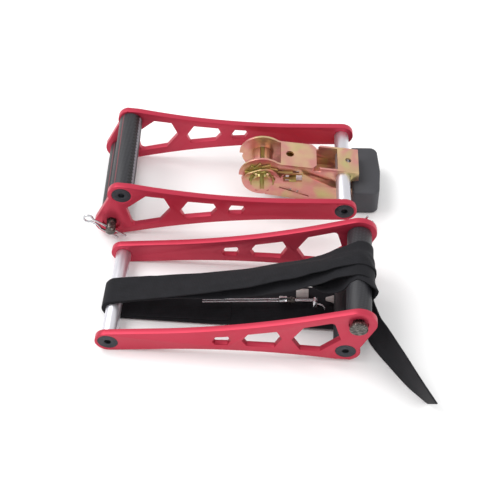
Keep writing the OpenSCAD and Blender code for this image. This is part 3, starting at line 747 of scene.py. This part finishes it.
# Free end, standing on its edge: the lower and the upper edge, in millimetres from the ground under the
# ratchet yoke's crossbar
TAIL_LOW = ((13.6, -127.0, 4.2), (14.6, -133.0, 1.6), (15.6, -142.0, 0.8), (17.4, -152.4, 0.6),
            (23.0, -163.0, 0.6), (31.0, -174.6, 0.6), (38.0, -184.8, 0.6), (45.1, -194.2, 0.6),
            (51.6, -201.0, 0.6), (57.8, -207.4, 0.6))
TAIL_HIGH = ((18.6, -128.0, 27.0), (20.2, -134.5, 25.4), (22.2, -140.5, 24.4), (24.6, -147.5, 23.9),
             (29.4, -156.6, 24.0), (36.4, -171.5, 24.3), (42.4, -184.2, 24.4), (48.6, -197.8, 24.4),
             (54.8, -210.8, 24.4), (60.6, -222.2, 24.0))


def catmull(points, steps):
    """A smooth line through the points, with that many steps between each two of them."""
    out = []
    for i in range(len(points) - 1):
        p = [Vector(points[max(0, min(len(points) - 1, j))]) for j in (i - 1, i, i + 1, i + 2)]
        for s in range(steps):
            t = s / steps
            out.append(0.5 * (2 * p[1] + (p[2] - p[0]) * t
                              + (2 * p[0] - 5 * p[1] + 4 * p[2] - p[3]) * t * t
                              + (3 * p[1] - p[0] - 3 * p[2] + p[3]) * t ** 3))
    out.append(Vector(points[-1]))
    return out


def webbing_tail():
    """Rows of points across the free end, each with the length along its middle."""
    ground = Vector((CROSSBAR.x, CROSSBAR.y, 0))
    lows = [ground + MM * Vector(p) for p in TAIL_LOW]
    highs = [ground + MM * Vector(p) for p in TAIL_HIGH]
    lows, highs = catmull(lows, 5), catmull(highs, 5)
    rows, length = [], 0.0
    for i, (a, b) in enumerate(zip(lows, highs)):
        if i:
            length += ((a + b) / 2 - (lows[i - 1] + highs[i - 1]) / 2).length / MM
        rows.append((length, [a.lerp(b, k / ACROSS_STEPS) for k in range(ACROSS_STEPS + 1)]))
    return rows


tail = strip("webbing_free_end", webbing_tail(), LAYER_T)
finish_piece(tail, "strap_yoke", "black_webbing", WEBBING, "webbing_tail")

# ---------------------------------------------------------------- floor, light and camera

deselect_all()
bpy.ops.mesh.primitive_plane_add(size=6, location=(0, 0, 0))
floor = new_piece("studio_floor")
paper, _, paper_shader = new_material("white_paper", Roughness=0.9)
paper_shader.inputs["Base Color"].default_value = linear("#fbfbfb")
floor.data.materials.append(paper)

world = bpy.data.worlds.new("studio")
bpy.context.scene.world = world
world.use_nodes = True
world.node_tree.nodes["Background"].inputs["Color"].default_value = (1, 1, 1, 1)
world.node_tree.nodes["Background"].inputs["Strength"].default_value = 0.84
bpy.context.scene.view_settings.view_transform = "Standard"


def softbox(name, place, target, size, power):
    data = bpy.data.lights.new(name, "AREA")
    data.shape = "RECTANGLE"
    data.size, data.size_y = size
    data.energy = power
    light = bpy.data.objects.new(name, data)
    bpy.context.scene.collection.objects.link(light)
    light.location = place
    light.rotation_euler = (Vector(target) - Vector(place)).to_track_quat("-Z", "Y").to_euler()


softbox("key_softbox", (-0.9, 0.3, 1.3), (0, 0, 0), (1.0, 1.0), 15)
softbox("fill_softbox", (1.0, -0.8, 1.1), (0, 0, 0), (1.0, 1.0), 6)

YAW, PITCH, ROLL = math.radians(2.295), math.radians(50.15), math.radians(-1.19)
CAMERA_FROM_BAR = (-52.99, -639.92, 692.86)     # from the ground under the ratchet yoke's crossbar
turn_view = Matrix.Rotation(YAW, 3, "Z")
view = turn_view @ Vector((0, math.cos(PITCH), -math.sin(PITCH)))
right = turn_view @ Vector((1, 0, 0))
above = right.cross(view)
right, above = (math.cos(ROLL) * right + math.sin(ROLL) * above,
                -math.sin(ROLL) * right + math.cos(ROLL) * above)
camera_data = bpy.data.cameras.new("camera")
camera_data.lens = 79.2
camera_data.sensor_width = 36
camera = bpy.data.objects.new("camera", camera_data)
bpy.context.scene.collection.objects.link(camera)
place = Vector((CROSSBAR.x, CROSSBAR.y, 0)) + MM * Vector(CAMERA_FROM_BAR)
camera.matrix_world = Matrix((
    (right.x, above.x, -view.x, place.x), (right.y, above.y, -view.y, place.y),
    (right.z, above.z, -view.z, place.z), (0, 0, 0, 1)))
bpy.context.scene.camera = camera
